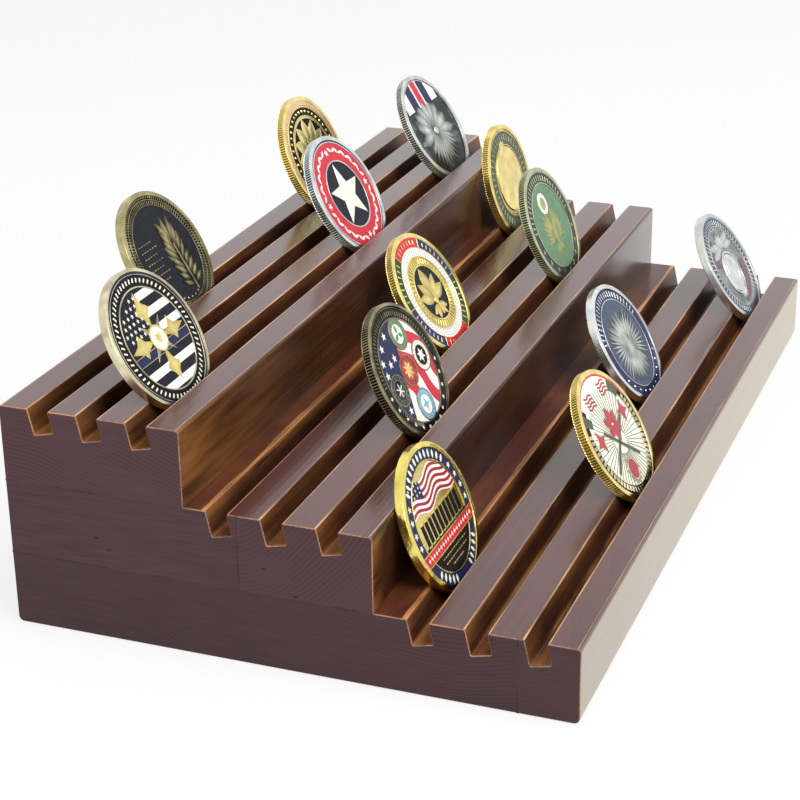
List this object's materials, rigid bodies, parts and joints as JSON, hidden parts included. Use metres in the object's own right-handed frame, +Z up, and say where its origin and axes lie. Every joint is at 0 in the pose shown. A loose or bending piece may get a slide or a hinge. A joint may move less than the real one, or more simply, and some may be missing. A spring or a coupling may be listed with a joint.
{
  "type": "coin display stand",
  "caption": "Three-step solid wood rack with slanted grooves that hold coins standing on edge, shown with coins in it.",
  "frame": {"origin": "centre of the underside", "axes": "+X along the grooves, +Y towards the high rear step, -Y out of the low front step, +Z up"},
  "size_m": [0.31, 0.184, 0.1054],
  "materials": {
    "lacquered_wood": "satin lacquer, dark reddish brown",
    "antique_brass": "struck and plated metal",
    "gold_plate": "struck and plated metal",
    "pale_brass": "struck and plated metal",
    "silver_plate": "struck and plated metal",
    "antique_silver": "struck and plated metal",
    "black_enamel": "hard enamel, glossy",
    "grey_enamel": "hard enamel, glossy",
    "white_enamel": "hard enamel, glossy",
    "red_enamel": "hard enamel, glossy",
    "blue_enamel": "hard enamel, glossy",
    "green_enamel": "hard enamel, glossy",
    "mauve_enamel": "hard enamel, glossy"
  },
  "bodies": {
    "stand": {"high_board": "lacquered_wood", "middle_rear_stave": "lacquered_wood", "middle_front_stave": "lacquered_wood", "low_rear_stave": "lacquered_wood", "low_front_stave": "lacquered_wood"},
    "coin_01": {"coin_01": "antique_brass"},
    "coin_02": {"coin_02": "gold_plate"},
    "coin_03": {"coin_03": "pale_brass"},
    "coin_04": {"coin_04": "silver_plate"},
    "coin_05": {"coin_05": "antique_silver"},
    "coin_06": {"coin_06": "gold_plate"},
    "coin_07": {"coin_07": "gold_plate"},
    "coin_08": {"coin_08": "antique_brass"},
    "coin_09": {"coin_09": "antique_brass"},
    "coin_10": {"coin_10": "gold_plate"},
    "coin_11": {"coin_11": "silver_plate"},
    "coin_12": {"coin_12": "gold_plate"},
    "coin_13": {"coin_13": "antique_silver"}
  },
  "joints": [
    {"name": "coin_01_lift", "type": "slide", "parent": "stand", "child": "coin_01", "axis": [0, 0.515, 0.8572], "range_m": [0, 0.05]},
    {"name": "coin_02_lift", "type": "slide", "parent": "stand", "child": "coin_02", "axis": [0, 0.3907, 0.9205], "range_m": [0, 0.05]},
    {"name": "coin_03_lift", "type": "slide", "parent": "stand", "child": "coin_03", "axis": [0, 0.5225, 0.8526], "range_m": [0, 0.05]},
    {"name": "coin_04_lift", "type": "slide", "parent": "stand", "child": "coin_04", "axis": [0, 0.5, 0.866], "range_m": [0, 0.05]},
    {"name": "coin_05_lift", "type": "slide", "parent": "stand", "child": "coin_05", "axis": [0, 0.5225, 0.8526], "range_m": [0, 0.05]},
    {"name": "coin_06_lift", "type": "slide", "parent": "stand", "child": "coin_06", "axis": [0, 0.2756, 0.9613], "range_m": [0, 0.05]},
    {"name": "coin_07_lift", "type": "slide", "parent": "stand", "child": "coin_07", "axis": [0, 0.5373, 0.8434], "range_m": [0, 0.05]},
    {"name": "coin_08_lift", "type": "slide", "parent": "stand", "child": "coin_08", "axis": [0, 0.4695, 0.8829], "range_m": [0, 0.05]},
    {"name": "coin_09_lift", "type": "slide", "parent": "stand", "child": "coin_09", "axis": [0, 0.4067, 0.9135], "range_m": [0, 0.05]},
    {"name": "coin_10_lift", "type": "slide", "parent": "stand", "child": "coin_10", "axis": [0, 0.3947, 0.9188], "range_m": [0, 0.05]},
    {"name": "coin_11_lift", "type": "slide", "parent": "stand", "child": "coin_11", "axis": [0, 0.5373, 0.8434], "range_m": [0, 0.05]},
    {"name": "coin_12_lift", "type": "slide", "parent": "stand", "child": "coin_12", "axis": [0, 0.5373, 0.8434], "range_m": [0, 0.05]},
    {"name": "coin_13_lift", "type": "slide", "parent": "stand", "child": "coin_13", "axis": [0, 0.5373, 0.8434], "range_m": [0, 0.05]}
  ]
}
